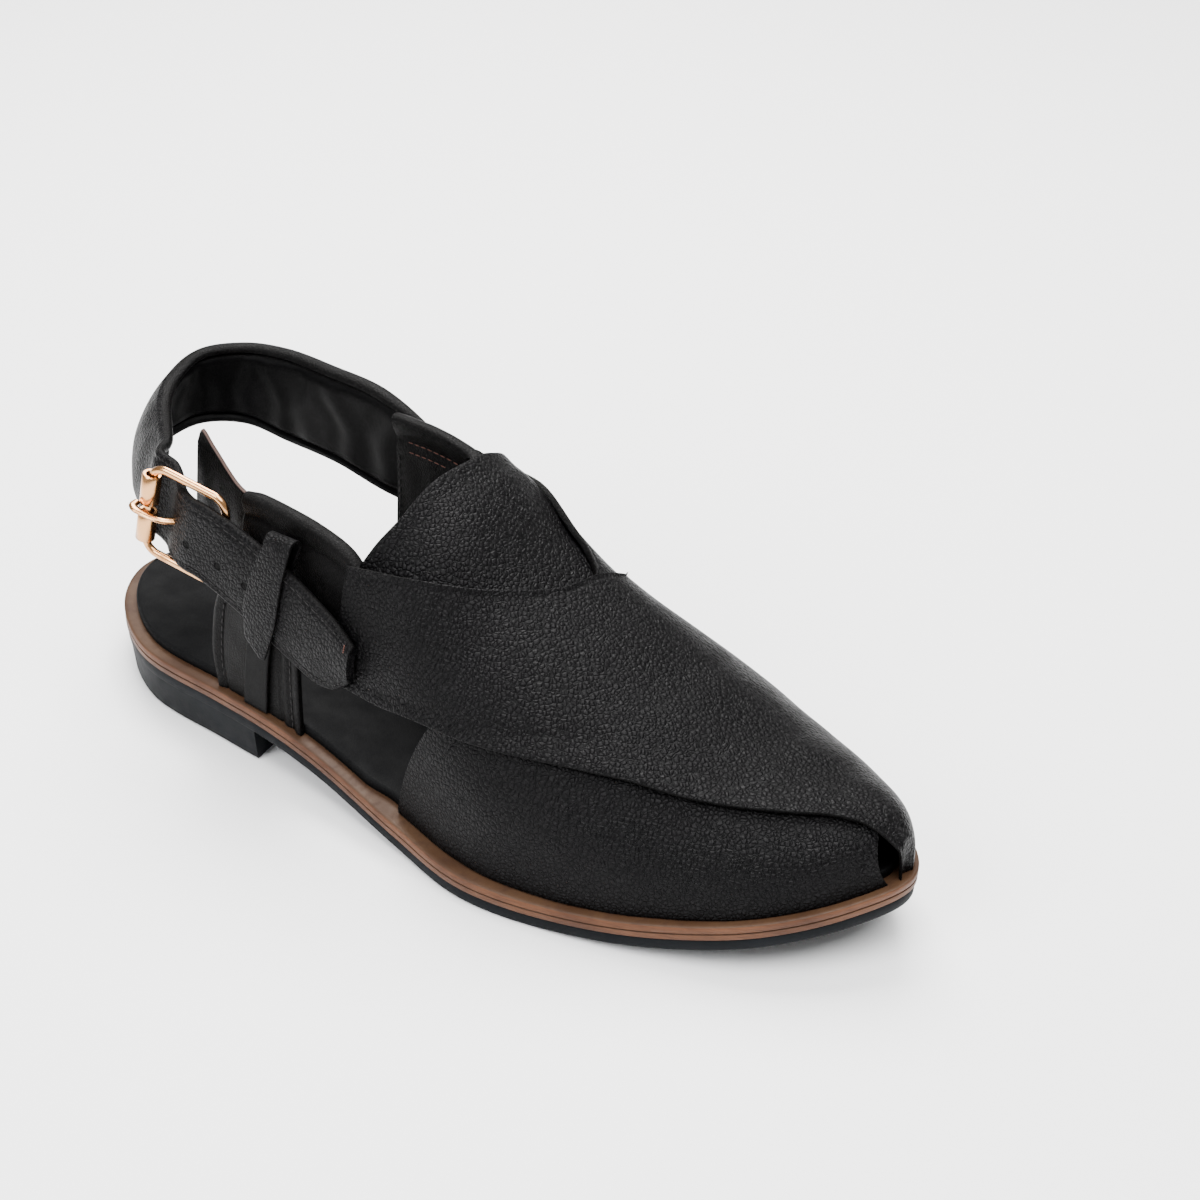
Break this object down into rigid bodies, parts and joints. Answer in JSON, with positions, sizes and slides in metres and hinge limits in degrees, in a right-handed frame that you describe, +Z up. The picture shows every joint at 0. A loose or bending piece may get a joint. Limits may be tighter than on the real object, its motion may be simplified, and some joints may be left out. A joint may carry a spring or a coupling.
{
  "type": "peshawari chappal",
  "caption": "Black leather peshawari chappal, right shoe: crossed bands, domed tongue, tan welt, rubber heel and a buckled back strap.",
  "frame": {"origin": "middle of the bounding box's bottom face, on the floor", "axes": "+X towards the toe, +Y towards the inside of the foot, +Z up"},
  "size_m": [0.29, 0.1036, 0.1026],
  "materials": {
    "leather": "pebbled, soft sheen",
    "footbed": "smooth, matt",
    "rubber": "matt",
    "welt": "waxed edge",
    "gold": "polished"
  },
  "bodies": {
    "root": {"outsole": "rubber", "midsole": "welt", "insole": "footbed", "upper": "leather", "tongue": "leather", "lateral_collar": "leather", "medial_collar": "leather", "lateral_leg": "leather", "medial_leg": "leather", "guard": "leather", "keeper": "leather", "back_strap": "leather", "buckle_frame": "gold", "roller_upper": "gold", "roller_lower": "gold", "prong": "gold"}
  },
  "joints": []
}
